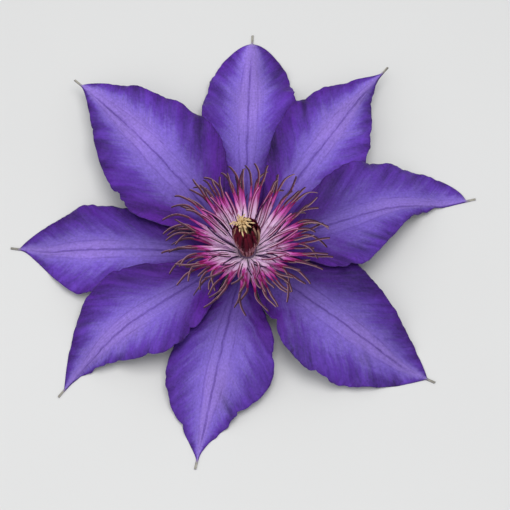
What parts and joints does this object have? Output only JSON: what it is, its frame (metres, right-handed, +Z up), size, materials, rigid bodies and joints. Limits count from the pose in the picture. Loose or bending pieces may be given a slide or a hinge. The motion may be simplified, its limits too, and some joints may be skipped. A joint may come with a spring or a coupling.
{
  "type": "clematis flower",
  "caption": "Large single clematis bloom, face up, with pointed waved violet tepals, spreading stamens, a dark inner cup and curled stigmas.",
  "frame": {"origin": "on the surface that the flower lies on, under the middle of the bloom's outline", "axes": "+Z up, out of the flower's face; +Y towards the tip of tepal_1; +X to the right, seen from above with +Y away"},
  "size_m": [0.163, 0.1672, 0.034],
  "materials": {
    "stem": "green stalk, slightly downy",
    "tepal": "violet-blue petal with a pale lilac bar and deep purple margins, soft satin",
    "stamen": "pale pink filaments turning magenta, with taupe anthers, matt",
    "inner_stamen": "dark maroon, velvety",
    "pistil": "cream yellow stigmas, matt"
  },
  "bodies": {
    "root": {"stem": "stem", "tepal_1": "tepal", "tepal_2": "tepal", "tepal_3": "tepal", "tepal_4": "tepal", "tepal_5": "tepal", "tepal_6": "tepal", "tepal_7": "tepal", "tepal_8": "tepal", "stamens": "stamen", "inner_stamens": "inner_stamen", "pistils": "pistil"}
  },
  "joints": []
}
